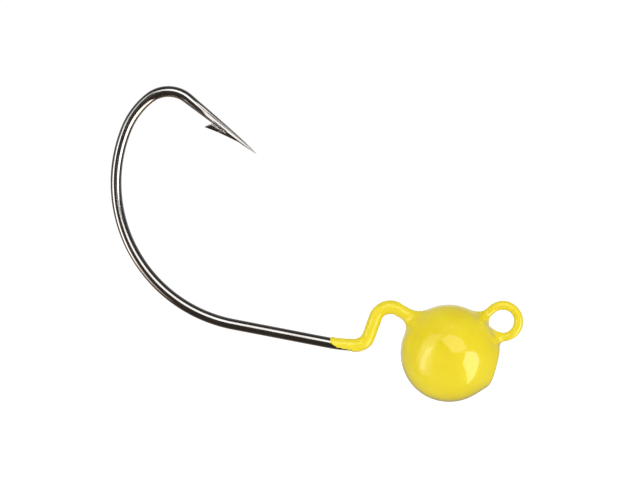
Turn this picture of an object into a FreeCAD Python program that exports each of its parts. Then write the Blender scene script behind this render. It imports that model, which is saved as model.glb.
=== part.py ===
"""Jig head: a cast lead ball on a weedless Z-bend hook, under a coat of yellow powder paint.

The hook is one steel wire, and lies in the XZ plane. It starts inside the ball, goes round the
line eye, runs back into the ball, turns at an elbow near the ball's centre, leaves by the neck,
and goes over the arch and down the drop to the shank, the bend, the crown and the barbed point.
The origin is the centre of the line eye. +X points forward, towards the eye, and +Z up, towards
the side that the hook's point is on. Sizes are millimetres and degrees.
"""

import FreeCAD, Part
import Sketcher
import math
import os

LEFT = 1
RIGHT = -1

SIZES = {
    "wire_dia": "1.22",
    "eye_wire_dia": "0.74",
    "eye_radius": "1.77",
    "eye_start_angle": "-100",
    "eye_turn": "230",
    "eye_tail_length": "1.5",
    "thin_leg_length": "2.2",
    "taper_length": "1.3",
    "thick_leg_length": "1.24",
    "elbow_radius": "1.4",
    "elbow_turn": "70.6",
    "neck_length": "6.17",
    "arch_radius": "1.744",
    "arch_turn": "100.6",
    "drop_length": "2.2",
    "step_radius": "1.613",
    "step_turn": "71.2",
    "lead_in_radius": "17.5",
    "lead_in_turn": "9.7",
    "shank_length": "10.87",
    "bend_radius": "16.11",
    "bend_turn": "100.9",
    "shoulder_radius": "8.42",
    "shoulder_turn": "29.6",
    "crown_radius": "3.415",
    "crown_turn": "77.5",
    "point_wire_length": "0.3",
    "point_length": "9.62",
    "facet_length": "7.7",
    "facet_half_width": "0.22",
    "facet_half_depth": "0.2",
    "tip_half_width": "0.02",
    "barb_front": "2.0",
    "barb_notch": "5.95",
    "barb_back": "6.44",
    "barb_rise": "1.33",
    "barb_half_depth": "0.17",
    "ball_dia": "10.6",
    "ball_x": "-6.01",
    "ball_z": "-3.58",
    "gate_angle": "-15",
    "gate_depth": "0.11",
    "gate_dia": "4.1",
    "gate_base_dia": "6.8",
    "gate_base": "3.9",
    "neck_collar_start": "1.35",
    "neck_collar_root": "1.55",
    "neck_collar_mouth": "0.69",
    "eye_collar_start": "1.0",
    "eye_collar_root": "0.9",
    "eye_collar_mouth": "0.42",
    "collar_length": "2.4",
    "coat_thickness": "0.12",
    "coat_end_turn": "6.4",
}

# Each step of the wire, in order: its name, its length or radius, and for an arc its turn and side.
EYE_TAIL = ("tail", "eye_tail_length", None, None)
EYE_LOOP = ("eye", "eye_radius", "eye_turn", LEFT)
THIN_LEG = ("thin_leg", "thin_leg_length", None, None)
TAPER = ("taper", "taper_length", None, None)
THICK_LEG = ("thick_leg", "thick_leg_length", None, None)
ELBOW = ("elbow", "elbow_radius", "elbow_turn", RIGHT)
NECK = ("neck", "neck_length", None, None)
ARCH = ("arch", "arch_radius", "arch_turn", LEFT)
DROP = ("drop", "drop_length", None, None)
STEP = ("step", "step_radius", "step_turn", RIGHT)
LEAD_IN = ("lead_in", "lead_in_radius", "lead_in_turn", RIGHT)
COAT_END = ("coat_end", "lead_in_radius", "coat_end_turn", RIGHT)
SHANK = ("shank", "shank_length", None, None)
BEND = ("bend", "bend_radius", "bend_turn", RIGHT)
SHOULDER = ("shoulder", "shoulder_radius", "shoulder_turn", RIGHT)
CROWN = ("crown", "crown_radius", "crown_turn", RIGHT)
POINT_WIRE = ("point_wire", "point_wire_length", None, None)

EYE_ROUTE = [EYE_TAIL, EYE_LOOP, THIN_LEG]
SETTING = [THICK_LEG, ELBOW, NECK, ARCH, DROP, STEP]
HOOK_ROUTE = SETTING + [LEAD_IN, SHANK, BEND, SHOULDER, CROWN, POINT_WIRE]
COAT_ROUTE = SETTING + [COAT_END]

doc = FreeCAD.newDocument("jig_head")
sheet = doc.addObject("Spreadsheet::Sheet", "sizes")


def fill_sheet():
    """Writes every driving size into the sheet, with its name as the alias."""
    for row, (name, value) in enumerate(SIZES.items(), start=1):
        sheet.set(f"A{row}", name)
        sheet.set(f"B{row}", value)
        sheet.setAlias(f"B{row}", name)
    doc.recompute()


def value_of(name):
    """The sheet's number under an alias."""
    return float(sheet.get(name))


def new_body(name):
    return doc.addObject("PartDesign::Body", name)


def origin_plane(body, role):
    """One of the body's own origin planes."""
    for feature in body.Origin.OriginFeatures:
        if feature.Role == role:
            return feature
    raise ValueError(role)


def constrain(sketch, kind, *where, formula=None, start=None):
    """Adds one constraint, and binds its value to a formula of the sheet's cells."""
    if formula is None:
        return sketch.addConstraint(Sketcher.Constraint(kind, *where))
    index = sketch.addConstraint(Sketcher.Constraint(kind, *where, start))
    sketch.setExpression(f"Constraints[{index}]", formula)
    return index


def add_line(sketch, x, z, heading, length, real):
    """A line from (x, z) along the heading. Returns its index and where it ends."""
    end_x = x + length * math.cos(heading)
    end_z = z + length * math.sin(heading)
    start = FreeCAD.Vector(x, z, 0)
    end = FreeCAD.Vector(end_x, end_z, 0)
    index = sketch.addGeometry(Part.LineSegment(start, end), not real)
    return index, end_x, end_z, heading


def add_arc(sketch, x, z, heading, radius, turn, side, real):
    """An arc that leaves (x, z) along the heading and turns to one side."""
    centre_x = x - side * radius * math.sin(heading)
    centre_z = z + side * radius * math.cos(heading)
    new_heading = heading + side * turn
    first = heading - side * math.pi / 2
    last = new_heading - side * math.pi / 2
    low, high = (first, last) if side == LEFT else (last, first)
    circle = Part.Circle(FreeCAD.Vector(centre_x, centre_z, 0), FreeCAD.Vector(0, 0, 1), radius)
    index = sketch.addGeometry(Part.ArcOfCircle(circle, low, high), not real)
    end_x = centre_x + side * radius * math.sin(new_heading)
    end_z = centre_z - side * radius * math.cos(new_heading)
    return index, end_x, end_z, new_heading


def draw_wire(body, name, leading, drawn):
    """A sketch of the wire's centreline in the XZ plane.

    The leading steps are construction lines that carry the drawn ones to their place. Each step
    is tangent to the one before it, and the eye's arc stands on the origin.
    """
    sketch = body.newObject("Sketcher::SketchObject", name)
    sketch.AttachmentSupport = [(origin_plane(body, "XZ_Plane"), "")]
    sketch.MapMode = "FlatFace"
    begin = math.radians(value_of("eye_start_angle"))
    heading = begin + math.pi / 2
    tail = value_of("eye_tail_length")
    x = value_of("eye_radius") * math.cos(begin) - tail * math.cos(heading)
    z = value_of("eye_radius") * math.sin(begin) - tail * math.sin(heading)
    previous = None
    for number, (label, size, turn, side) in enumerate(leading + drawn):
        real = number >= len(leading)
        if turn is None:
            placed = add_line(sketch, x, z, heading, value_of(size), real)
            near, far = 1, 2
        else:
            angle = math.radians(value_of(turn))
            placed = add_arc(sketch, x, z, heading, value_of(size), angle, side, real)
            near, far = (1, 2) if side == LEFT else (2, 1)
        index, x, z, heading = placed
        if previous is not None:
            constrain(sketch, "Tangent", previous[0], previous[1], index, near)
        if label == "eye":
            constrain(sketch, "Coincident", index, 3, -1, 1)
        if label == "tail":
            tail_angle = math.radians(value_of("eye_start_angle") + 90)
            formula = "(sizes.eye_start_angle + 90) * 1 deg"
            constrain(sketch, "Angle", index, formula=formula, start=tail_angle)
        if turn is None:
            formula = f"sizes.{size} * 1 mm"
            constrain(sketch, "Distance", index, formula=formula, start=value_of(size))
        else:
            formula = f"sizes.{size} * 1 mm"
            constrain(sketch, "Radius", index, formula=formula, start=value_of(size))
            formula = f"sizes.{turn} * 1 deg"
            constrain(sketch, "Angle", index, formula=formula, start=angle)
        previous = (index, far)
    doc.recompute()
    return sketch


def section_at(body, name, path, edge, along, back=None):
    """An empty sketch square to the wire, at the start (0) or end (1) of one edge of its path.

    Its z axis points back along the run, and back is a formula for a shift along it. Its y axis
    lies in the hook's plane, and on the point it is the outer side, away from the shank.
    """
    sketch = body.newObject("Sketcher::SketchObject", name)
    sketch.AttachmentSupport = [(path, f"Edge{edge}")]
    sketch.MapMode = "NormalToEdge"
    sketch.MapPathParameter = along
    if back:
        sketch.setExpression("AttachmentOffset.Base.z", back)
    return sketch


def draw_circle(sketch, formula, start):
    """A circle on the section's own centre."""
    circle = Part.Circle(FreeCAD.Vector(0, 0, 0), FreeCAD.Vector(0, 0, 1), start)
    index = sketch.addGeometry(circle, False)
    constrain(sketch, "Coincident", index, 3, -1, 1)
    constrain(sketch, "Radius", index, formula=formula, start=start)
    doc.recompute()
    return sketch


def draw_polygon(sketch, corners):
    """A closed outline. Each corner is a pair of formulas in the sheet's cells."""
    points = []
    for across, up in corners:
        points.append(FreeCAD.Vector(worked_out(across), worked_out(up), 0))
    count = len(points)
    for number in range(count):
        line = Part.LineSegment(points[number], points[(number + 1) % count])
        sketch.addGeometry(line, False)
    for number in range(count):
        constrain(sketch, "Coincident", number, 2, (number + 1) % count, 1)
    for number, (across, up) in enumerate(corners):
        point = points[number]
        constrain(sketch, "DistanceX", -1, 1, number, 1, formula=across, start=point.x)
        constrain(sketch, "DistanceY", -1, 1, number, 1, formula=up, start=point.y)
    doc.recompute()
    return sketch


def worked_out(formula):
    """The value of a formula, from the document's own expression engine."""
    return float(getattr(sheet.evalExpression(formula), "Value", sheet.evalExpression(formula)))


def add_pipe(body, name, section, path):
    pipe = body.newObject("PartDesign::AdditivePipe", name)
    pipe.Profile = section
    pipe.Spine = (path, [f"Edge{n}" for n in range(1, len(path.Shape.Edges) + 1)])
    pipe.Transition = 0
    section.Visibility = False
    doc.recompute()
    return pipe


def add_loft(body, name, sections):
    loft = body.newObject("PartDesign::AdditiveLoft", name)
    loft.Profile = sections[0]
    loft.Sections = sections[1:]
    loft.Ruled = True
    doc.recompute()
    return loft


def bind(feature, formulas):
    """Binds a feature's properties to formulas of the sheet's cells."""
    for name, formula in formulas.items():
        feature.setExpression(name, formula)


def add_wire(body, prefix, path, radius, start):
    """The round wire along one path."""
    section = section_at(body, f"{prefix}_section", path, 1, 0)
    draw_circle(section, radius, start)
    return add_pipe(body, f"{prefix}_pipe", section, path)


def grind_point(body, path):
    """The ground point: round at the crown, then four facets that run to a fine tip."""
    last = len(path.Shape.Edges)
    base = section_at(body, "point_base", path, last, 1)
    draw_circle(base, "sizes.wire_dia / 2", value_of("wire_dia") / 2)
    facet = section_at(body, "point_facet", path, last, 1, "-sizes.facet_length")
    draw_polygon(facet, diamond("sizes.facet_half_depth", "sizes.facet_half_width"))
    tip = section_at(body, "point_tip", path, last, 1, "-sizes.point_length")
    draw_polygon(tip, diamond("sizes.tip_half_width", "sizes.tip_half_width"))
    add_loft(body, "ground_point", [base, facet, tip])


def diamond(across, up):
    """A four-cornered outline with its corners on the section's axes."""
    return [(across, "0"), ("0", up), (f"-{across}", "0"), ("0", f"-{up}")]


def slab(half_width, low, high):
    """A four-cornered outline between two heights."""
    return [
        (f"-{half_width}", low),
        (half_width, low),
        (half_width, high),
        (f"-{half_width}", high),
    ]


def raise_barb(body, path):
    """The barb: a sliver that lifts from the inner side of the point and ends in a notch."""
    last = len(path.Shape.Edges)
    depth = "sizes.barb_half_depth"
    share = "(sizes.barb_notch - sizes.barb_front) / (sizes.barb_back - sizes.barb_front)"
    front = section_at(body, "barb_front_section", path, last, 1, back_from_tip("barb_front"))
    draw_polygon(front, slab(depth, "-sizes.facet_half_width / 2", "sizes.tip_half_width * 4"))
    notch = section_at(body, "barb_notch_section", path, last, 1, back_from_tip("barb_notch"))
    draw_polygon(notch, slab(depth, f"-sizes.barb_rise * {share}", "-sizes.wire_dia / 4"))
    back = section_at(body, "barb_back_section", path, last, 1, back_from_tip("barb_back"))
    top = "-sizes.barb_rise + sizes.tip_half_width * 3"
    draw_polygon(back, slab("sizes.tip_half_width * 2", "-sizes.barb_rise", top))
    add_loft(body, "barb", [front, notch, back])


def back_from_tip(name):
    """The shift from the point's base to a place measured back from the tip."""
    return f"-(sizes.point_length - sizes.{name})"


def make_hook():
    """The hook: eye, taper, thick wire, ground point and barb, as one wire."""
    body = new_body("hook")
    eye_path = draw_wire(body, "eye_path", [], EYE_ROUTE)
    hook_path = draw_wire(body, "hook_path", EYE_ROUTE + [TAPER], HOOK_ROUTE)
    thick = "sizes.wire_dia / 2"
    thin = "sizes.eye_wire_dia / 2"
    add_wire(body, "hook", hook_path, thick, value_of("wire_dia") / 2)
    taper_front = section_at(body, "taper_front", hook_path, 1, 0, "sizes.taper_length")
    draw_circle(taper_front, thin, value_of("eye_wire_dia") / 2)
    taper_back = section_at(body, "taper_back", hook_path, 1, 0)
    draw_circle(taper_back, thick, value_of("wire_dia") / 2)
    add_loft(body, "taper", [taper_front, taper_back])
    add_wire(body, "eye", eye_path, thin, value_of("eye_wire_dia") / 2)
    grind_point(body, hook_path)
    raise_barb(body, hook_path)
    return body


def add_ball(body, skin):
    """The ball, grown by a skin of the given thickness."""
    ball = body.newObject("PartDesign::AdditiveSphere", f"{body.Name}_ball")
    formulas = {
        "Radius": f"sizes.ball_dia / 2 + {skin}",
        "Placement.Base.x": "sizes.ball_x",
        "Placement.Base.z": "sizes.ball_z",
    }
    bind(ball, formulas)
    doc.recompute()


def add_collar(body, name, path, edge, along, inward, skin, root, mouth):
    """A cone of lead round the wire where it leaves the ball. inward is the way into the ball."""
    collar = body.newObject("PartDesign::AdditiveCone", f"{body.Name}_{name}")
    collar.AttachmentSupport = [(path, f"Edge{edge}")]
    collar.MapMode = "NormalToEdge"
    collar.MapPathParameter = along
    formulas = {
        "Radius1": f"sizes.{mouth} + {skin}" if inward > 0 else f"sizes.{root} + {skin}",
        "Radius2": f"sizes.{root} + {skin}" if inward > 0 else f"sizes.{mouth} + {skin}",
        "Height": "sizes.collar_length",
    }
    bind(collar, formulas)
    return collar


def add_collars(body, skin):
    """The two collars: one round the neck, one round the eye's leg."""
    path = draw_wire(body, f"{body.Name}_path", EYE_ROUTE + [TAPER], SETTING)
    leg_path = draw_wire(body, f"{body.Name}_leg_path", [EYE_TAIL, EYE_LOOP], [THIN_LEG])
    neck = add_collar(
        body, "neck_collar", path, 3, 1, 1, skin, "neck_collar_root", "neck_collar_mouth"
    )
    neck.setExpression("AttachmentOffset.Base.z", "sizes.neck_collar_start")
    doc.recompute()
    leg = add_collar(
        body, "eye_collar", leg_path, 1, 0, -1, skin, "eye_collar_root", "eye_collar_mouth"
    )
    leg.setExpression("AttachmentOffset.Base.z", "-sizes.collar_length - sizes.eye_collar_start")
    doc.recompute()


def add_gate(body, skin):
    """The stump of the casting gate: a low cone on the front of the ball."""
    stump = body.newObject("PartDesign::AdditiveCone", f"{body.Name}_gate")
    stump.Placement.Rotation = FreeCAD.Rotation(FreeCAD.Vector(0, 1, 0), 0)
    angle = "sizes.gate_angle * 1 deg"
    formulas = {
        "Radius1": f"sizes.gate_base_dia / 2 + {skin}",
        "Radius2": f"sizes.gate_dia / 2 + {skin}",
        "Height": f"sizes.ball_dia / 2 - sizes.gate_base + {skin}",
        "Placement.Rotation.Angle": "(90 - sizes.gate_angle) * 1 deg",
        "Placement.Base.x": f"sizes.ball_x + sizes.gate_base * cos({angle})",
        "Placement.Base.z": f"sizes.ball_z + sizes.gate_base * sin({angle})",
    }
    bind(stump, formulas)
    doc.recompute()


def cut_gate(body, skin):
    """The flat where the gate is clipped off."""
    reach = f"(sizes.ball_dia / 2 - sizes.gate_depth + {skin})"
    flat = body.newObject("PartDesign::SubtractiveBox", f"{body.Name}_gate_flat")
    flat.Length = 2
    flat.Width = 8
    flat.Height = 8
    flat.Placement.Rotation = FreeCAD.Rotation(FreeCAD.Vector(0, 1, 0), 0)
    angle = "sizes.gate_angle * 1 deg"
    formulas = {
        "Placement.Rotation.Angle": "-sizes.gate_angle * 1 deg",
        "Placement.Base.x": f"sizes.ball_x + {reach} * cos({angle}) + 4 * sin({angle})",
        "Placement.Base.y": "-4",
        "Placement.Base.z": f"sizes.ball_z + {reach} * sin({angle}) - 4 * cos({angle})",
    }
    bind(flat, formulas)
    doc.recompute()


def make_blank(name, skin):
    """The head's outer form with nothing cut out of it yet."""
    body = new_body(name)
    add_ball(body, skin)
    add_collars(body, skin)
    add_gate(body, skin)
    cut_gate(body, skin)
    return body


def coat_wires(body):
    """The coat's tubes round the eye and round the neck, arch, drop and step."""
    eye_path = draw_wire(body, "eye_coat_path", [], EYE_ROUTE)
    neck_path = draw_wire(body, "neck_coat_path", EYE_ROUTE + [TAPER], COAT_ROUTE)
    skin = value_of("coat_thickness")
    thick = "sizes.wire_dia / 2 + sizes.coat_thickness"
    add_wire(body, "neck_coat", neck_path, thick, value_of("wire_dia") / 2 + skin)
    thin = "sizes.eye_wire_dia / 2 + sizes.coat_thickness"
    add_wire(body, "eye_coat", eye_path, thin, value_of("eye_wire_dia") / 2 + skin)


def cut_from(name, base, tool):
    cut = doc.addObject("Part::Cut", name)
    cut.Base = base
    cut.Tool = tool
    doc.recompute()
    return cut


def make_lead_head(blank, hook):
    """The cast lead, with the hook's channel through it."""
    return cut_from("lead_head", blank, hook)


def make_powder_coat(lead_blank, hook):
    """The paint: a skin over the lead, the eye, the neck and the top of the shank."""
    blank = make_blank("coat_blank", "sizes.coat_thickness")
    coat_wires(blank)
    core = doc.addObject("Part::Fuse", "painted_core")
    core.Base = lead_blank
    core.Tool = hook
    doc.recompute()
    return cut_from("powder_coat", blank, core)


def check_document():
    """Stops on any object that failed to build."""
    for item in doc.Objects:
        if "Invalid" in item.State or "Error" in item.State:
            raise RuntimeError(f"{item.Name} failed: {item.State}")


def write_parts(pieces):
    """Checks each piece's solid and writes it to a file of its own name."""
    for piece in pieces:
        shape = piece.Shape
        if shape.isNull() or not shape.isValid():
            raise RuntimeError(f"{piece.Label} has no valid shape")
        if len(shape.Solids) != 1:
            raise RuntimeError(f"{piece.Label} has {len(shape.Solids)} solids")
    os.makedirs("parts", exist_ok=True)
    for piece in pieces:
        piece.Shape.exportStep(f"parts/{piece.Label}.step")
        box = piece.Shape.BoundBox
        print(piece.Label, round(piece.Shape.Volume, 2), "mm3", box)


def main():
    fill_sheet()
    hook = make_hook()
    lead_blank = make_blank("lead_blank", "0")
    lead_head = make_lead_head(lead_blank, hook)
    powder_coat = make_powder_coat(lead_blank, hook)
    for piece, label in ((hook, "hook"), (lead_head, "lead_head"), (powder_coat, "powder_coat")):
        piece.Label = label
    check_document()
    write_parts([hook, lead_head, powder_coat])


main()
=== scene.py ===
"""Looks of a jig head: a yellow powder-painted ball on a black nickel hook, above a pale floor.

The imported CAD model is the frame. The hook is replaced by a swept wire with a ground point
and a barb; the paint is replaced by one skin with fillets, runs and a ragged end; the lead
inside stays as the CAD has it. Shapes are worked out in millimetres, in the CAD's own frame, and
turned into metres when a mesh is made.
"""

import math

import bmesh
import bpy
import numpy as np
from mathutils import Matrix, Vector

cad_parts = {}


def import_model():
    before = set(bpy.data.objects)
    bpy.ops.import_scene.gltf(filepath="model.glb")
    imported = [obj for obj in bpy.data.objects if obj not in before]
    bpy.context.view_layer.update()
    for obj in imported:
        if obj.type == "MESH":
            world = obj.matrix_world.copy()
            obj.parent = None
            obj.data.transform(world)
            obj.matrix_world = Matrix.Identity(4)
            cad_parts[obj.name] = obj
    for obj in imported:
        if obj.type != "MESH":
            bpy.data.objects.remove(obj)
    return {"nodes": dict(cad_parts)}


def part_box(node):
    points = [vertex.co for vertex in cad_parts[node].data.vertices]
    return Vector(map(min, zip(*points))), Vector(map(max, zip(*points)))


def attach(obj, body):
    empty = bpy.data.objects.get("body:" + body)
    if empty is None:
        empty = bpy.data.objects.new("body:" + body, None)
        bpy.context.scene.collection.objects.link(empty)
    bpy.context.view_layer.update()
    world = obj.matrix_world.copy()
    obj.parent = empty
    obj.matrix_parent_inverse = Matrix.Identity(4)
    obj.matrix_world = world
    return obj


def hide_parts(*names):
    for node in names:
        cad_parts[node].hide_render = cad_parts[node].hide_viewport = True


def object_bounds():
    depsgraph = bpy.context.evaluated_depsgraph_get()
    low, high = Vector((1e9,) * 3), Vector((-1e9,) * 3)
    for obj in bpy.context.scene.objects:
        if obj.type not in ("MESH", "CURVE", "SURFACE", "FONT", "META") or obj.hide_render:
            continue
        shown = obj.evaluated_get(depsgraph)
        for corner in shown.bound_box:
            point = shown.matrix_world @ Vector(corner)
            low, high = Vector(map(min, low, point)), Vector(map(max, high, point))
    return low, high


MM = 0.001
LEFT = 1
RIGHT = -1

# the wire's sizes, in millimetres and degrees, as in the CAD model
WIRE_RADIUS = 0.61
EYE_WIRE_RADIUS = 0.37
EYE_RADIUS = 1.77
EYE_START_ANGLE = -100
EYE_TURN = 230
EYE_TAIL = 1.5
THIN_LEG = 2.2
TAPER = 1.3
THICK_LEG = 1.24
POINT_WIRE = 0.3
POINT_LENGTH = 9.62

# each step of the wire: its name, its length or radius, and for an arc its turn and side
EYE_ROUTE = [
    ("tail", EYE_TAIL, 0, 0),
    ("eye", EYE_RADIUS, EYE_TURN, LEFT),
    ("thin_leg", THIN_LEG, 0, 0),
]
LEG_ROUTE = [("taper", TAPER, 0, 0), ("thick_leg", THICK_LEG, 0, 0)]
NECK_ROUTE = [
    ("elbow", 1.4, 70.6, RIGHT),
    ("neck", 6.17, 0, 0),
    ("arch", 1.744, 100.6, LEFT),
    ("drop", 2.2, 0, 0),
    ("step", 1.613, 71.2, RIGHT),
    ("lead_in", 17.5, 9.7, RIGHT),
]
BEND_ROUTE = [
    ("shank", 10.87, 0, 0),
    ("bend", 16.11, 100.9, RIGHT),
    ("shoulder", 8.42, 29.6, RIGHT),
    ("crown", 3.415, 77.5, RIGHT),
    ("point", POINT_WIRE + POINT_LENGTH, 0, 0),
]

# the hook's mesh: sides round the wire, and the gap between its rings, in millimetres
WIRE_SIDES = 64
RING_GAP = 0.12
POINT_RING_GAP = 0.06
FINE_BEHIND_POINT = 1.0

# half sizes of the ground point, in millimetres, against the distance back from the tip
POINT_PLACES = [0.0, 0.35, 1.9, 3.6, 5.95, 8.3, 9.62, 10.3]
POINT_HALF_WIDTHS = [0.012, 0.065, 0.22, 0.33, 0.44, 0.54, 0.6, 0.61]
POINT_HALF_DEPTHS = [0.012, 0.055, 0.19, 0.31, 0.45, 0.57, 0.61, 0.61]

# the ground flats: which way each faces, in degrees from sideways to outward, and how far out it is
POINT_FLATS = [(11, 0.76), (60, 0.87), (-66, 0.91)]
FLAT_CRISPNESS = 24
GROOVE_AT = math.radians(24)
GROOVE_DEPTH = 0.09
GROOVE_HALF_ANGLE = math.radians(8)

# how far back from the tip the flats fade out, and where the plain round wire takes over
FLATS_FADE = (POINT_LENGTH - 3.6, POINT_LENGTH + 0.5)
ROUND_FROM = POINT_LENGTH + 0.6

# the barb, in millimetres back from the tip and out from the centreline
BARB_FRONT = 2.0
BARB_NOTCH = 5.95
BARB_BACK = 6.44
BARB_RISE = 1.33
BARB_BURIED = 0.3
BARB_FIRST_RISE = 0.1
BARB_FOOT = 0.02
BARB_FOOT_LIFT = 0.36
BARB_LEAST_HEIGHT = 0.03
BARB_LAST_HEIGHT = 0.02
BARB_HALF_WIDTH = 0.1
BARB_WIDENS = 0.12

# the barb's form, as shares: how much it curls up, and narrows at its end; its keel's width; and
# how high and how wide its flanks are where they bend
BARB_CURL = 0.18
BARB_NARROWS = 0.85
BARB_KEEL = 0.3
BARB_FLANK_HEIGHT = 0.62
BARB_FLANK_WIDTH = 0.92
BARB_ROWS = 25

# the cut that raised the barb: how far back from the tip it runs, and how far its ends fade
CUT_FRONT = 4.0
CUT_BACK = 6.2
CUT_FRONT_FADE = 0.5
CUT_BACK_FADE = 0.3

# where it is round the wire, in turns, and how far off the inner side it starts and stops
INNER_SIDE = 0.5
CUT_AROUND = 0.64
CUT_STARTS = (0.06, 0.1)
CUT_STOPS = (0.2, 0.16)

# the paint's mesh: its cells, in millimetres, and how it is drawn onto the surface, in rounds
COAT_CELL = 0.085
TUBE_RING_GAP = 0.15
DRAWING_ROUNDS = 5
LONGEST_MOVE = 0.2
LEAST_STEEPNESS = 0.3

# the paint, in millimetres
COAT = 0.12
BALL_X = -6.01
BALL_RADIUS = 5.3 + COAT
NECK_FILLET = 1.35
EYE_FILLET = 0.9

# slow ripples over the ball: height, how fine, and what makes each of their waves differ
BALL_RIPPLES = [(0.022, 0.55, (1.3, 2.9, 4.1)), (0.006, 2.1, (5.2, 6.6, 8.3))]

# the gate's stump: which way it faces, the flat's depth, and how the ball swells up to it
GATE_ANGLE = math.radians(-15)
GATE_DEPTH = 0.11
GATE_SWELL = 0.41
GATE_SPREAD = math.radians(46)
GATE_RIM = math.radians(21)
GATE_ROUNDING = 0.3

# where the paint gathered: a step, how far past its start, how wide and how high
NECK_RUNS = [("arch", 1.4, 1.5, 0.03), ("step", 1.0, 1.3, 0.045)]
EYE_RUN = ("eye", 2.6, 1.3, 0.022)

# the swelling of the paint round the eye's leg: how high, and between which places on the leg
EYE_LEG_SWELL = 0.3
EYE_LEG_SWELLS = (0.6, 2.1)

# waves in the paint's thickness: height, waves along the wire, waves round it, and shift
NECK_WAVES = [(0.012, 2.3, 0.0, 1.0), (0.008, 5.1, 3.0, 0.0)]
EYE_WAVES = [(0.012, 1.9, 0.0, 0.5)]

# the paint's end on the shank, in millimetres past the lead-in's start, and how it falls short
END_ABOVE = 2.85
END_SHORT_AT_SIDES = 0.75
END_SHORT_BELOW = 1.6

# where round the wire it falls short and gets ragged, from 0 on top to 1 underneath
SIDES = (0.35, 0.8)
BELOW = (0.70, 0.90)
RAGGED = (0.66, 0.86)

# the end's lip and thinning: height and places, in millimetres back from the end
END_LIP = 0.06
END_LIP_BACK = 0.25
END_LIP_WIDTH = 0.2
END_THINNING = 0.045
END_THINS = (2.2, 0.4)
END_DROPS = (0.14, -0.05)
UNDER_THE_WIRE = 0.05

# the waves of the ragged end: height, waves along the wire, waves round it, and shift
END_WAVES = [(0.26, 11.0, 0.0, 0.7), (0.16, 17.0, 2.0, 0.0), (0.04, 0.0, 9.0, 0.6)]

# colours and roughness, each as (place on a noise from 0 to 1, value there)
PAINT_COLOURS = [
    (0.3, (0.79, 0.63, 0.012)),
    (0.5, (0.82, 0.665, 0.017)),
    (0.7, (0.85, 0.70, 0.024)),
]
PAINT_ROUGHNESS = [(0.3, 0.28), (0.7, 0.38)]
NICKEL_COLOURS = [(0.3, (0.52, 0.485, 0.455)), (0.72, (0.66, 0.635, 0.61))]
NICKEL_ROUGHNESS = [(0.3, 0.12), (0.75, 0.17)]
LEAD_COLOURS = [(0.35, (0.16, 0.17, 0.19)), (0.7, (0.34, 0.35, 0.37))]
LEAD_ROUGHNESS = [(0.3, 0.45), (0.7, 0.62)]
FLOOR_COLOURS = [(0.3, (0.86, 0.86, 0.86)), (0.7, (0.9, 0.9, 0.9))]
FLOOR_GLOW = 0.62

# the panels seen in reflections: how bright each is, and its corners as (azimuth, elevation)
PANELS = [
    (2.0, [(-39, 20), (-55, 15), (-86, -28), (-73, -32)]),
    (1.0, [(-25, 48), (-62, 42), (-95, -35), (-62, -48)]),
    (3.6, [(35, 8), (62, 5), (72, -9), (88, -60), (30, -21)]),
    (1.7, [(-27, 35), (3, 49), (33, 36), (40, 16), (24, 5), (4, 5)]),
    (0.3, [(155, 28), (-155, 28), (-155, -8), (155, -8)]),
]
PANEL_EDGE = 0.02

# the tent that reflections see: its brightness, how far back it starts to brighten and is
# brightest, and its tint by height from 0 below to 1 above
TENT_DARK = 0.045
TENT_BEHIND = 0.36
TENT_BRIGHTENS = (0.1, 1.0)
TENT_TINTS = [(0.1, (1.0, 0.80, 0.66)), (0.42, (1.0, 0.96, 0.93)), (0.5, (1, 1, 1))]

# the even light on matt surfaces, and what the camera sees behind the object
EVEN_ABOVE = 0.52
EVEN_BELOW = 1.45
HORIZON_BLUR = 0.1
BACKDROP = 1.02

# the soft lights: name, azimuth, elevation, size in metres and power in watts
LIGHTS = [
    ("left_light", -56, 10, 0.2, 0.26),
    ("right_light", 52, 6, 0.22, 0.41),
    ("upper_light", 4, 62, 0.25, 0.56),
    ("back_left_light", -140, 25, 0.25, 0.4),
    ("back_right_light", 140, 10, 0.25, 0.4),
]
LIGHT_DISTANCE = 0.4

# the floor, in metres
FLOOR_BELOW = 0.045
FLOOR_RADIUS = 6.0

# the camera's lens, in millimetres, and its nearest and farthest sight, in metres
LENS = 100
SENSOR_WIDTH = 36
NEAREST = 0.01
FARTHEST = 20

# the view's width against the object's, and how far its middle is off the object's, in widths
WIDTH_IN_VIEW = 1.552
AIM_RIGHT = 0.005
AIM_UP = 0.006


def smooth(low, high, x):
    """0 below low, 1 above high, and a smooth step between them."""
    t = np.clip((x - low) / (high - low), 0, 1)
    return t * t * (3 - 2 * t)


def bump(centre, width, x):
    """A soft hill of height 1."""
    return np.exp(-(((x - centre) / width) ** 2))


# ---------------------------------------------------------------- the wire's route


def lay_route(steps):
    """Turns the steps into segments in the XZ plane, with where each starts, points and ends."""
    heading = math.radians(EYE_START_ANGLE + 90)
    begin = math.radians(EYE_START_ANGLE)
    x = EYE_RADIUS * math.cos(begin) - EYE_TAIL * math.cos(heading)
    z = EYE_RADIUS * math.sin(begin) - EYE_TAIL * math.sin(heading)
    travelled = 0.0
    segments = []
    for name, size, turn, side in steps:
        angle = math.radians(turn)
        length = size if side == 0 else size * angle
        segment = {
            "name": name,
            "start": np.array([x, z]),
            "heading": heading,
            "side": side,
            "radius": size,
            "length": length,
            "at": travelled,
        }
        if side == 0:
            x += length * math.cos(heading)
            z += length * math.sin(heading)
        else:
            segment["centre"] = np.array(
                [x - side * size * math.sin(heading), z + side * size * math.cos(heading)]
            )
            heading += side * angle
            x = segment["centre"][0] + side * size * math.sin(heading)
            z = segment["centre"][1] - side * size * math.cos(heading)
        travelled += length
        segments.append(segment)
    return segments


def start_of(segments, name):
    """How far along the wire a named step starts."""
    for segment in segments:
        if segment["name"] == name:
            return segment["at"]
    raise ValueError(name)


def end_of(segments):
    """How far along the wire the last of these segments ends."""
    return segments[-1]["at"] + segments[-1]["length"]


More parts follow.
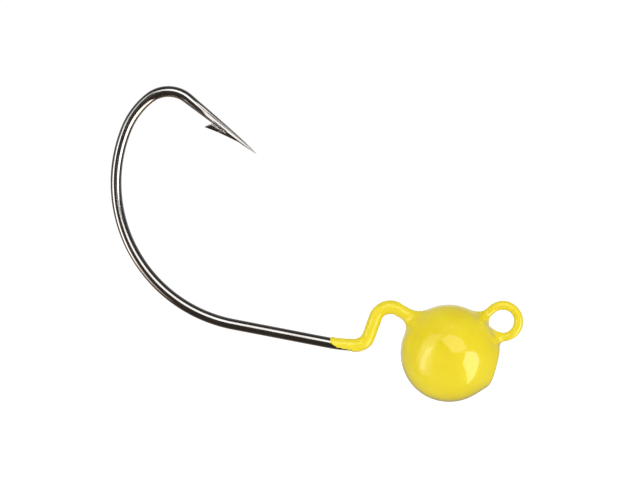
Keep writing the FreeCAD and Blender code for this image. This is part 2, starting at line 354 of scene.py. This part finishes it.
def along(segments, distance):
    """The points and headings at these distances along the wire."""
    points = np.zeros((len(distance), 2))
    headings = np.zeros(len(distance))
    for segment in segments:
        inside = distance >= segment["at"] - 1e-9
        gone = distance[inside] - segment["at"]
        if segment["side"] == 0:
            h = np.full(len(gone), segment["heading"])
            points[inside, 0] = segment["start"][0] + gone * math.cos(segment["heading"])
            points[inside, 1] = segment["start"][1] + gone * math.sin(segment["heading"])
        else:
            h = segment["heading"] + segment["side"] * gone / segment["radius"]
            reach = segment["side"] * segment["radius"]
            points[inside, 0] = segment["centre"][0] + reach * np.sin(h)
            points[inside, 1] = segment["centre"][1] - reach * np.cos(h)
        headings[inside] = h
    return points, headings


def nearest_on_wire(p, segments):
    """For points p: distance to the centreline, how far along, and the sideways offset in plane."""
    best = np.full(len(p), 1e9)
    where = np.zeros(len(p))
    offset = np.zeros(len(p))
    flat = p[:, [0, 2]]
    for segment in segments:
        if segment["side"] == 0:
            ahead = np.array([math.cos(segment["heading"]), math.sin(segment["heading"])])
            relative = flat - segment["start"]
            gone = np.clip(relative @ ahead, 0, segment["length"])
            left = np.array([-ahead[1], ahead[0]])
            sideways = relative @ left
            beyond = relative @ ahead - gone
        else:
            relative = flat - segment["centre"]
            reach = np.hypot(relative[:, 0], relative[:, 1])
            side = segment["side"]
            angle = np.arctan2(relative[:, 1], relative[:, 0])
            first = segment["heading"] - side * math.pi / 2
            swept = segment["length"] / segment["radius"]
            turned = (side * (angle - first) - swept / 2 + math.pi) % (2 * math.pi) - math.pi
            turned = turned + swept / 2
            kept = np.clip(turned, 0, swept)
            gone = kept * segment["radius"]
            sideways = side * (segment["radius"] - reach)
            beyond = 2 * reach * np.sin((turned - kept) / 2)
        far = np.sqrt(sideways**2 + beyond**2 + p[:, 1] ** 2)
        closer = far < best
        best[closer] = far[closer]
        where[closer] = segment["at"] + gone[closer]
        offset[closer] = sideways[closer]
    return best, where, offset


# ---------------------------------------------------------------- the paint's shape


def smooth_union(a, b, reach):
    """The nearer of two fields, with a fillet where they meet."""
    overlap = np.maximum(reach - np.abs(a - b), 0) / reach
    return np.minimum(a, b) - overlap * overlap * reach * 0.25


def waves(p, scale, seeds):
    """A slow, repeatable ripple over space, from -1 to 1."""
    total = np.zeros(len(p))
    for n, seed in enumerate(seeds):
        direction = np.array([math.sin(seed * 3.1), math.cos(seed * 1.7), math.sin(seed * 5.3 + 1)])
        total += np.sin(p @ direction * scale * (1 + 0.37 * n) + seed * 7.0)
    return total / len(seeds)


def waves_on_wire(parts, where, around):
    """A sum of waves along and round the wire."""
    total = 0
    for height, lengthwise, round_it, shift in parts:
        total = total + height * np.sin(where * lengthwise + around * round_it + shift)
    return total


def paint_end(around, where, segments):
    """How far along the wire the paint reaches: square on the upper side, ragged underneath."""
    low_side = 0.5 - 0.5 * np.sin(around)
    reach = END_ABOVE - END_SHORT_AT_SIDES * smooth(*SIDES, low_side)
    reach -= END_SHORT_BELOW * smooth(*BELOW, low_side)
    ragged = waves_on_wire(END_WAVES, where, around) * smooth(*RAGGED, low_side)
    return start_of(segments, "lead_in") + reach + ragged


def neck_radius(where, offset, depth, segments):
    """The paint's outer radius along the neck, arch, drop and step."""
    around = np.arctan2(-offset, depth)
    radius = WIRE_RADIUS + COAT
    for step, past, width, height in NECK_RUNS:
        radius = radius + height * bump(start_of(segments, step) + past, width, where)
    radius += waves_on_wire(NECK_WAVES, where, around)
    end = paint_end(around, where, segments)
    lip = END_LIP * bump(end - END_LIP_BACK, END_LIP_WIDTH, where)
    thin = -END_THINNING * smooth(end - END_THINS[0], end - END_THINS[1], where)
    gone = smooth(end - END_DROPS[0], end - END_DROPS[1], where)
    return (radius + lip + thin) * (1 - gone) + (WIRE_RADIUS - UNDER_THE_WIRE) * gone


def eye_radius(where, segments):
    """The paint's outer radius round the eye, fuller where its leg goes into the ball."""
    step, past, width, height = EYE_RUN
    radius = EYE_WIRE_RADIUS + COAT
    radius = radius + height * bump(start_of(segments, step) + past, width, where)
    radius += waves_on_wire(EYE_WAVES, where, 0.0)
    leg = start_of(segments, "thin_leg")
    low, high = EYE_LEG_SWELLS
    return radius + EYE_LEG_SWELL * smooth(leg + low, leg + high, where)


def ball_field(p, ball):
    """The field of the painted ball alone: rippled, and swelling up to the gate's cut stump."""
    from_ball = p - ball
    field = np.linalg.norm(from_ball, axis=1) - BALL_RADIUS
    field -= sum(height * waves(p, scale, seeds) for height, scale, seeds in BALL_RIPPLES)
    facing = np.array([math.cos(GATE_ANGLE), 0, math.sin(GATE_ANGLE)])
    forward = from_ball @ facing
    sideways = np.linalg.norm(from_ball - forward[:, None] * facing, axis=1)
    spread = (GATE_SPREAD - np.arctan2(sideways, forward)) / (GATE_SPREAD - GATE_RIM)
    field -= GATE_SWELL * np.clip(spread, 0, 1.2) ** 2
    cut = forward - (BALL_RADIUS - GATE_DEPTH)
    return -smooth_union(-field, -cut, GATE_ROUNDING)


def paint_field(p, ball, neck_line, eye_line, segments):
    """Negative inside the paint's outer surface and positive outside, in millimetres."""
    field = ball_field(p, ball)
    far, where, offset = nearest_on_wire(p, neck_line)
    neck = far - neck_radius(where, offset, p[:, 1], segments)
    field = smooth_union(field, neck, NECK_FILLET)
    far, where, offset = nearest_on_wire(p, eye_line)
    eye = far - eye_radius(where, segments)
    return smooth_union(field, eye, EYE_FILLET)


def paint_slope(p, *shape):
    """The paint field's gradient at points p."""
    step = 0.01
    slope = np.zeros_like(p)
    for axis in range(3):
        shift = np.zeros(3)
        shift[axis] = step
        rise = paint_field(p + shift, *shape) - paint_field(p - shift, *shape)
        slope[:, axis] = rise / (2 * step)
    return slope


def add_tube(bm, segments, radius, sides=20):
    """A closed tube along some of the wire's segments."""
    first = segments[0]["at"]
    last = end_of(segments)
    distance = np.linspace(first, last, int((last - first) / TUBE_RING_GAP) + 2)
    points, headings = along(segments, distance)
    rings = []
    for (x, z), heading in zip(points, headings):
        ring = []
        for n in range(sides):
            turn = 2 * math.pi * n / sides
            out = radius * math.cos(turn)
            sideways = radius * math.sin(turn)
            place = (x - out * math.sin(heading), sideways, z + out * math.cos(heading))
            ring.append(bm.verts.new(place))
        rings.append(ring)
    close_rings(bm, rings)


def close_rings(bm, rings):
    """Faces between each ring of corners and the next, and over both ends. Returns the rows."""
    rows = []
    for a, b in zip(rings, rings[1:]):
        row = []
        for n in range(len(a)):
            m = (n + 1) % len(a)
            row.append(bm.faces.new((a[n], a[m], b[m], b[n])))
        rows.append(row)
    bm.faces.new(list(reversed(rings[0])))
    bm.faces.new(rings[-1])
    return rows


def rough_paint(ball, neck_line, eye_line):
    """A first mesh of the paint, with even cells, from a ball and two tubes."""
    mesh = bpy.data.meshes.new("rough_paint")
    bm = bmesh.new()
    bmesh.ops.create_icosphere(bm, subdivisions=5, radius=BALL_RADIUS)
    bmesh.ops.translate(bm, verts=bm.verts, vec=Vector(ball))
    add_tube(bm, neck_line, WIRE_RADIUS + COAT)
    add_tube(bm, eye_line, EYE_WIRE_RADIUS + COAT)
    bm.to_mesh(mesh)
    bm.free()
    holder = bpy.data.objects.new("rough_paint", mesh)
    bpy.context.scene.collection.objects.link(holder)
    remesh = holder.modifiers.new("cells", "REMESH")
    remesh.mode = "VOXEL"
    remesh.voxel_size = COAT_CELL
    graph = bpy.context.evaluated_depsgraph_get()
    made = bpy.data.meshes.new_from_object(holder.evaluated_get(graph))
    bpy.data.objects.remove(holder)
    return made


def make_paint(ball, segments):
    """The powder coat as one smooth skin, each point drawn onto the paint's outer surface."""
    eye_line = [s for s in segments if s["name"] in ("tail", "eye", "thin_leg")]
    names = ("neck", "arch", "drop", "step", "lead_in")
    neck_line = [s for s in segments if s["name"] in names]
    mesh = rough_paint(ball, neck_line, eye_line)
    points = np.empty(len(mesh.vertices) * 3)
    mesh.vertices.foreach_get("co", points)
    points = points.reshape(-1, 3)
    shape = (ball, neck_line, eye_line, segments)
    for _ in range(DRAWING_ROUNDS):
        value = paint_field(points, *shape)
        slope = paint_slope(points, *shape)
        steepness = np.maximum((slope**2).sum(axis=1), LEAST_STEEPNESS)
        step = np.clip(value / steepness, -LONGEST_MOVE, LONGEST_MOVE)
        points = points - slope * step[:, None]
    normals = paint_slope(points, *shape)
    normals /= np.linalg.norm(normals, axis=1)[:, None]
    mesh.vertices.foreach_set("co", (points * MM).ravel())
    mesh.update()
    for face in mesh.polygons:
        face.use_smooth = True
    mesh.normals_split_custom_set_from_vertices(normals)
    coat = bpy.data.objects.new("paint_skin", mesh)
    bpy.context.scene.collection.objects.link(coat)
    return coat


# ---------------------------------------------------------------- the hook's shape


def wire_radius(distance, segments):
    """The bare wire's radius along its run, in millimetres."""
    thick = smooth(start_of(segments, "taper"), start_of(segments, "thick_leg"), distance)
    return EYE_WIRE_RADIUS + (WIRE_RADIUS - EYE_WIRE_RADIUS) * thick


def ground_outline(cos, sin):
    """The point's section, of unit half size: a flat each side, and two bevels to each edge."""
    total = 0
    for lean, reach in POINT_FLATS:
        lean = math.radians(lean)
        nearness = (cos * math.sin(lean) + np.abs(sin) * math.cos(lean)) / reach
        total = total + np.maximum(nearness, 0) ** FLAT_CRISPNESS
    outward = np.arctan2(cos, np.abs(sin))
    groove = GROOVE_DEPTH * bump(GROOVE_AT, GROOVE_HALF_ANGLE, outward)
    return total ** (-1 / FLAT_CRISPNESS) * (1 - groove)


def hook_sections(distance, turns, segments):
    """In-plane and sideways offsets of the wire's skin, one row for each place along it."""
    left = (end_of(segments) - distance)[:, None]
    round_radius = wire_radius(distance, segments)[:, None]
    cos, sin = np.cos(turns)[None, :], np.sin(turns)[None, :]
    ground = 1 - smooth(*FLATS_FADE, left)
    outline = 1 + (ground_outline(cos, sin) - 1) * ground
    half_width = np.interp(left[:, 0], POINT_PLACES, POINT_HALF_WIDTHS)[:, None]
    half_depth = np.interp(left[:, 0], POINT_PLACES, POINT_HALF_DEPTHS)[:, None]
    near_point = left < ROUND_FROM
    in_plane = np.where(near_point, outline * cos * half_width, round_radius * cos)
    sideways = np.where(near_point, outline * sin * half_depth, round_radius * sin)
    return in_plane, sideways


def make_hook(segments):
    """The hook as one swept wire, from its buried tail round the eye to the tip, plus the barb."""
    total = end_of(segments)
    fine_from = total - POINT_LENGTH - FINE_BEHIND_POINT
    coarse = np.arange(0, fine_from, RING_GAP)
    fine = np.arange(fine_from, total, POINT_RING_GAP)
    distance = np.append(np.concatenate([coarse, fine]), total)
    turns = np.linspace(0, 2 * math.pi, WIRE_SIDES, endpoint=False)
    points, headings = along(segments, distance)
    in_plane, sideways = hook_sections(distance, turns, segments)
    x = points[:, :1] - in_plane * np.sin(headings)[:, None]
    z = points[:, 1:] + in_plane * np.cos(headings)[:, None]
    place = np.stack([x, sideways, z], axis=2) * MM
    bm = bmesh.new()
    layer = bm.loops.layers.uv.new("along_wire")
    rings = [[bm.verts.new(point) for point in ring] for ring in place]
    for row, faces in enumerate(close_rings(bm, rings)):
        for n, face in enumerate(faces):
            ends = ((row, n), (row, n + 1), (row + 1, n + 1), (row + 1, n))
            for loop, (r, c) in zip(face.loops, ends):
                loop[layer].uv = (distance[r], c / WIRE_SIDES)
    for face in bm.faces:
        face.smooth = True
    add_barb(bm, segments[-1], total)
    bmesh.ops.recalc_face_normals(bm, faces=bm.faces)
    mesh = bpy.data.meshes.new("hook_wire")
    bm.to_mesh(mesh)
    bm.free()
    hook = bpy.data.objects.new("hook_wire", mesh)
    bpy.context.scene.collection.objects.link(hook)
    return hook


def barb_section(share):
    """One section of the barb: how far back it is, and its corners as (rise, depth, on the cut)."""
    back = BARB_FRONT - BARB_BURIED + (BARB_BACK - BARB_FRONT + BARB_BURIED) * share
    lift = (1 - BARB_CURL) * share + BARB_CURL * share**3
    keel = BARB_FIRST_RISE + (BARB_RISE - BARB_FIRST_RISE) * lift
    foot = min(BARB_FOOT + BARB_FOOT_LIFT * smooth(0.0, 0.8, share), keel - BARB_LEAST_HEIGHT)
    beyond = max(back - BARB_NOTCH, 0) / (BARB_BACK - BARB_NOTCH)
    foot += (keel - BARB_LAST_HEIGHT - foot) * beyond
    half = BARB_HALF_WIDTH + BARB_WIDENS * smooth(0.0, 0.55, share)
    half *= 1 - BARB_NARROWS * beyond
    edge = BARB_KEEL * half * (1 - share)
    flank = foot + BARB_FLANK_HEIGHT * (keel - foot)
    corners = [
        (foot, -half, True),
        (flank, -half * BARB_FLANK_WIDTH, False),
        (keel, -edge, False),
        (keel, edge + 1e-4, False),
        (flank, half * BARB_FLANK_WIDTH, False),
        (foot, half, True),
    ]
    return back, corners


def add_barb(bm, point, total):
    """A sliver cut from the point's inner side and lifted: a keel, two flanks and a back face."""
    ahead = np.array([math.cos(point["heading"]), math.sin(point["heading"])])
    tip = point["start"] + ahead * point["length"]
    inner = np.array([ahead[1], -ahead[0]])
    layer = bm.loops.layers.uv["along_wire"]
    marks = {}
    rows = []
    for share in np.linspace(0, 1, BARB_ROWS):
        back, corners = barb_section(share)
        row = []
        for rise, depth, on_cut in corners:
            flat = tip - ahead * back + inner * rise
            corner = bm.verts.new((flat[0] * MM, depth * MM, flat[1] * MM))
            marks[corner] = (total - back, CUT_AROUND if on_cut else INNER_SIDE)
            row.append(corner)
        rows.append(row)
    faces = [bm.faces.new(rows[0]), bm.faces.new(list(reversed(rows[-1])))]
    for a, b in zip(rows, rows[1:]):
        for n in range(6):
            m = (n + 1) % 6
            faces.append(bm.faces.new((a[n], b[n], b[m], a[m])))
    for face in faces:
        for loop in face.loops:
            loop[layer].uv = marks[loop.vert]


# ---------------------------------------------------------------- node helpers


def feed(links, socket, value):
    """Gives a socket a number, or links another socket to it."""
    if isinstance(value, float):
        socket.default_value = value
    else:
        links.new(value, socket)


def new_material(name):
    """An empty node material with its shader. Returns the material, its nodes, links and shader."""
    material = bpy.data.materials.new(name)
    material.use_nodes = True
    tree = material.node_tree
    shader = tree.nodes["Principled BSDF"]
    return material, tree.nodes, tree.links, shader


def add_noise(nodes, links, scale, detail, stretch=(1, 1, 1), space="Object"):
    """A noise from 0 to 1 over the object's own coordinates, or its UV map."""
    coordinates = nodes.new("ShaderNodeTexCoord")
    mapping = nodes.new("ShaderNodeMapping")
    mapping.inputs["Scale"].default_value = stretch
    noise = nodes.new("ShaderNodeTexNoise")
    noise.inputs["Scale"].default_value = scale
    noise.inputs["Detail"].default_value = detail
    links.new(coordinates.outputs[space], mapping.inputs["Vector"])
    links.new(mapping.outputs["Vector"], noise.inputs["Vector"])
    return noise.outputs["Fac"]


def add_ramp(nodes, links, source, stops, target):
    """Sets a colour by a ramp on a factor. stops are (place, colour), in order."""
    ramp = nodes.new("ShaderNodeValToRGB")
    elements = ramp.color_ramp.elements
    elements.remove(elements[1])
    elements[0].position, elements[0].color = stops[0][0], (*stops[0][1], 1)
    for place, colour in stops[1:]:
        elements.new(place).color = (*colour, 1)
    links.new(source, ramp.inputs["Fac"])
    links.new(ramp.outputs["Color"], target)


def add_roughness(nodes, links, source, stops, shader):
    """Sets the shader's roughness by a ramp on a factor. stops are (place, roughness)."""
    greys = [(place, (value, value, value)) for place, value in stops]
    add_ramp(nodes, links, source, greys, shader.inputs["Roughness"])


def add_bump(nodes, links, shader, height, strength, distance):
    """A bump from a height, chained after any bump that the shader already has."""
    node = nodes.new("ShaderNodeBump")
    node.inputs["Strength"].default_value = strength
    node.inputs["Distance"].default_value = distance
    links.new(height, node.inputs["Height"])
    if shader.inputs["Normal"].is_linked:
        links.new(shader.inputs["Normal"].links[0].from_socket, node.inputs["Normal"])
    links.new(node.outputs["Normal"], shader.inputs["Normal"])


def add_maths(nodes, links, operation, *values):
    """A maths node on two or three values, each a socket or a number."""
    node = nodes.new("ShaderNodeMath")
    node.operation = operation
    for slot, value in enumerate(values):
        feed(links, node.inputs[slot], value)
    return node.outputs[0]


def add_step(nodes, links, value, low, high, start=0.0, end=1.0, kind="SMOOTHSTEP"):
    """A step from start at low to end at high."""
    step = nodes.new("ShaderNodeMapRange")
    step.interpolation_type = kind
    step.inputs["From Min"].default_value = low
    step.inputs["From Max"].default_value = high
    step.inputs["To Min"].default_value = start
    step.inputs["To Max"].default_value = end
    links.new(value, step.inputs["Value"])
    return step.outputs["Result"]


# ---------------------------------------------------------------- materials


def paint_material():
    """Baked yellow powder paint: glossy, a little uneven in depth, with a faint orange peel."""
    material, nodes, links, shader = new_material("yellow_powder_paint")
    cloud = add_noise(nodes, links, scale=260, detail=3)
    add_ramp(nodes, links, cloud, PAINT_COLOURS, shader.inputs["Base Color"])
    gloss = add_noise(nodes, links, scale=700, detail=4)
    add_roughness(nodes, links, gloss, PAINT_ROUGHNESS, shader)
    shader.inputs["Specular IOR Level"].default_value = 0.25
    shader.inputs["Coat Weight"].default_value = 1.0
    shader.inputs["Coat Roughness"].default_value = 0.04
    shader.inputs["Subsurface Weight"].default_value = 0.1
    shader.inputs["Subsurface Radius"].default_value = (1.0, 0.7, 0.1)
    shader.inputs["Subsurface Scale"].default_value = 0.4 * MM
    peel = add_noise(nodes, links, scale=1500, detail=2)
    add_bump(nodes, links, shader, peel, strength=0.1, distance=0.04 * MM)
    ripple = add_noise(nodes, links, scale=420, detail=2)
    add_bump(nodes, links, shader, ripple, strength=0.16, distance=0.2 * MM)
    return material


def add_cut_mask(nodes, links, wire_length):
    """1 on the wire's skin where the barb was cut up from it, and 0 elsewhere."""
    place = nodes.new("ShaderNodeTexCoord")
    split = nodes.new("ShaderNodeSeparateXYZ")
    links.new(place.outputs["UV"], split.inputs["Vector"])
    start, end = wire_length - CUT_BACK, wire_length - CUT_FRONT
    after = add_step(nodes, links, split.outputs["X"], start, start + CUT_BACK_FADE)
    before = add_step(nodes, links, split.outputs["X"], end, end - CUT_FRONT_FADE)
    off_middle = add_maths(nodes, links, "SUBTRACT", split.outputs["Y"], INNER_SIDE)
    off_middle = add_maths(nodes, links, "ABSOLUTE", off_middle)
    inner = add_step(nodes, links, off_middle, *CUT_STARTS)
    outer = add_step(nodes, links, off_middle, *CUT_STOPS)
    along_it = add_maths(nodes, links, "MULTIPLY", after, before)
    round_it = add_maths(nodes, links, "MULTIPLY", inner, outer)
    return add_maths(nodes, links, "MULTIPLY", along_it, round_it)


def nickel_material(wire_length):
    """Black nickel on drawn wire: fine lengthwise marks, a brownish cast, and a torn cut."""
    material, nodes, links, shader = new_material("black_nickel")
    tone = add_noise(nodes, links, scale=300, detail=4)
    add_ramp(nodes, links, tone, NICKEL_COLOURS, shader.inputs["Base Color"])
    shader.inputs["Metallic"].default_value = 1.0
    marks = add_noise(nodes, links, scale=900, detail=4)
    add_roughness(nodes, links, marks, NICKEL_ROUGHNESS, shader)
    torn = add_noise(nodes, links, scale=5200, detail=3)
    torn = add_maths(nodes, links, "MULTIPLY", torn, add_cut_mask(nodes, links, wire_length))
    add_bump(nodes, links, shader, torn, strength=0.9, distance=0.12 * MM)
    drawn = add_noise(nodes, links, scale=1, detail=3, stretch=(0.12, 40, 1), space="UV")
    add_bump(nodes, links, shader, drawn, strength=0.02, distance=0.02 * MM)
    return material


def lead_material():
    """As-cast lead: dull grey, with darker oxide patches and a grainy skin."""
    material, nodes, links, shader = new_material("cast_lead")
    patches = add_noise(nodes, links, scale=500, detail=5)
    add_ramp(nodes, links, patches, LEAD_COLOURS, shader.inputs["Base Color"])
    shader.inputs["Metallic"].default_value = 0.85
    grain = add_noise(nodes, links, scale=2200, detail=5)
    add_roughness(nodes, links, grain, LEAD_ROUGHNESS, shader)
    add_bump(nodes, links, shader, grain, strength=0.3, distance=0.06 * MM)
    return material


def floor_material():
    """A pale, matt studio floor that glows enough to read as white."""
    material, nodes, links, shader = new_material("studio_floor")
    shade = add_noise(nodes, links, scale=8, detail=2)
    add_ramp(nodes, links, shade, FLOOR_COLOURS, shader.inputs["Base Color"])
    shader.inputs["Roughness"].default_value = 0.9
    shader.inputs["Specular IOR Level"].default_value = 0.0
    shader.inputs["Emission Color"].default_value = (1, 1, 1, 1)
    shader.inputs["Emission Strength"].default_value = FLOOR_GLOW
    return material


def give(obj, material):
    """Makes this the object's only material."""
    obj.data.materials.clear()
    obj.data.materials.append(material)


# ---------------------------------------------------------------- studio


def direction_to(azimuth, elevation):
    """The way to a place round the object. Azimuth 0 is the camera's side, 90 is to its right."""
    a, e = math.radians(azimuth), math.radians(elevation)
    return Vector((math.sin(a) * math.cos(e), -math.cos(a) * math.cos(e), math.sin(e)))


def add_panel(nodes, links, direction, glow, corners):
    """The glow, in each direction, of a flat-sided panel far away with these corners."""
    ways = [direction_to(*corner) for corner in corners]
    middle = sum(ways, Vector())
    lit = glow
    for this, following in zip(ways, ways[1:] + ways[:1]):
        side = this.cross(following).normalized()
        if side.dot(middle) < 0:
            side = -side
        dot = nodes.new("ShaderNodeVectorMath")
        dot.operation = "DOT_PRODUCT"
        dot.inputs[1].default_value = side
        links.new(direction, dot.inputs[0])
        edge = add_step(nodes, links, dot.outputs["Value"], -PANEL_EDGE, PANEL_EDGE)
        lit = add_maths(nodes, links, "MULTIPLY", edge, lit)
    return lit


def add_background(nodes, links, strength):
    """A white background. Its strength is a socket or a number."""
    background = nodes.new("ShaderNodeBackground")
    background.inputs["Color"].default_value = (1, 1, 1, 1)
    feed(links, background.inputs["Strength"], strength)
    return background


def add_mix(nodes, links, factor, if_not, if_so):
    """One background or the other, by a factor of 0 or 1."""
    mix = nodes.new("ShaderNodeMixShader")
    links.new(factor, mix.inputs["Fac"])
    links.new(if_not.outputs[0], mix.inputs[1])
    links.new(if_so.outputs[0], mix.inputs[2])
    return mix


def make_world():
    """White to the camera, even light for matt surfaces, and a dim tent with panels in reflections.

    The even light is stronger from below, as it is above a white table.
    """
    world = bpy.data.worlds.new("studio")
    bpy.context.scene.world = world
    world.use_nodes = True
    nodes, links = world.node_tree.nodes, world.node_tree.links
    nodes.clear()
    output = nodes.new("ShaderNodeOutputWorld")
    path = nodes.new("ShaderNodeLightPath")
    place = nodes.new("ShaderNodeTexCoord")
    direction = place.outputs["Generated"]
    split = nodes.new("ShaderNodeSeparateXYZ")
    links.new(direction, split.inputs["Vector"])
    upward = split.outputs["Z"]
    backward = split.outputs["Y"]
    glow = add_step(nodes, links, backward, *TENT_BRIGHTENS, TENT_DARK, TENT_BEHIND, "LINEAR")
    for brightness, corners in PANELS:
        panel = add_panel(nodes, links, direction, brightness, corners)
        glow = add_maths(nodes, links, "ADD", glow, panel)
    tent = add_background(nodes, links, glow)
    height = add_maths(nodes, links, "MULTIPLY_ADD", upward, 0.5, 0.5)
    add_ramp(nodes, links, height, TENT_TINTS, tent.inputs["Color"])
    strength = add_step(nodes, links, upward, -HORIZON_BLUR, HORIZON_BLUR, EVEN_BELOW, EVEN_ABOVE)
    even = add_background(nodes, links, strength)
    white = add_background(nodes, links, BACKDROP)
    matt_or_tent = add_mix(nodes, links, path.outputs["Is Glossy Ray"], even, tent)
    seen = add_mix(nodes, links, path.outputs["Is Camera Ray"], matt_or_tent, white)
    links.new(seen.outputs["Shader"], output.inputs["Surface"])


def add_softbox(name, centre, azimuth, elevation, size, power):
    """A soft light aimed at the object, which matt surfaces see and reflections don't."""
    way = direction_to(azimuth, elevation)
    light = bpy.data.lights.new(name, "AREA")
    light.shape = "SQUARE"
    light.size = size
    light.energy = power
    holder = bpy.data.objects.new(name, light)
    holder.location = centre + way * LIGHT_DISTANCE
    holder.rotation_mode = "QUATERNION"
    holder.rotation_quaternion = way.to_track_quat("Z", "Y")
    holder.visible_glossy = False
    bpy.context.scene.collection.objects.link(holder)


def make_floor(low, centre):
    """A wide round floor, well below the object, which the camera sees and the object doesn't.

    The light that it would send up comes from the world, so that its strength can be set.
    """
    mesh = bpy.data.meshes.new("floor")
    bm = bmesh.new()
    bmesh.ops.create_circle(bm, cap_ends=True, segments=96, radius=FLOOR_RADIUS)
    bm.to_mesh(mesh)
    bm.free()
    floor = bpy.data.objects.new("floor", mesh)
    floor.location = (centre.x, centre.y, low)
    bpy.context.scene.collection.objects.link(floor)
    give(floor, floor_material())
    floor.visible_glossy = False
    floor.visible_diffuse = False


def make_camera(low, high):
    """A long lens square to the hook's plane, with the object a little below the middle."""
    data = bpy.data.cameras.new("camera")
    data.lens = LENS
    data.sensor_width = SENSOR_WIDTH
    camera = bpy.data.objects.new("camera", data)
    bpy.context.scene.collection.objects.link(camera)
    bpy.context.scene.camera = camera
    middle = (low + high) / 2
    width = (high.x - low.x) * WIDTH_IN_VIEW
    distance = width * data.lens / data.sensor_width
    camera.location = (middle.x + AIM_RIGHT * width, -distance, middle.z + AIM_UP * width)
    camera.rotation_euler = (math.pi / 2, 0, 0)
    data.clip_start = NEAREST
    data.clip_end = FARTHEST


def main():
    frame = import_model()
    low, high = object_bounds()
    low, high = Vector(low), Vector(high)
    segments = lay_route(EYE_ROUTE + LEG_ROUTE + NECK_ROUTE + BEND_ROUTE)
    coat_low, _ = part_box("powder_coat")
    ball = np.array([BALL_X, 0.0, coat_low[2] / MM + BALL_RADIUS])
    coat = make_paint(ball, segments)
    give(coat, paint_material())
    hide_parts("powder_coat")
    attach(coat, "root")
    hook = make_hook(segments)
    give(hook, nickel_material(end_of(segments)))
    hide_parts("hook")
    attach(hook, "root")
    give(frame["nodes"]["lead_head"], lead_material())
    centre = (low + high) / 2
    make_world()
    for name, azimuth, elevation, size, power in LIGHTS:
        add_softbox(name, centre, azimuth, elevation, size, power)
    make_floor(low.z - FLOOR_BELOW, centre)
    make_camera(low, high)
    bpy.context.scene.view_settings.view_transform = "Standard"


main()
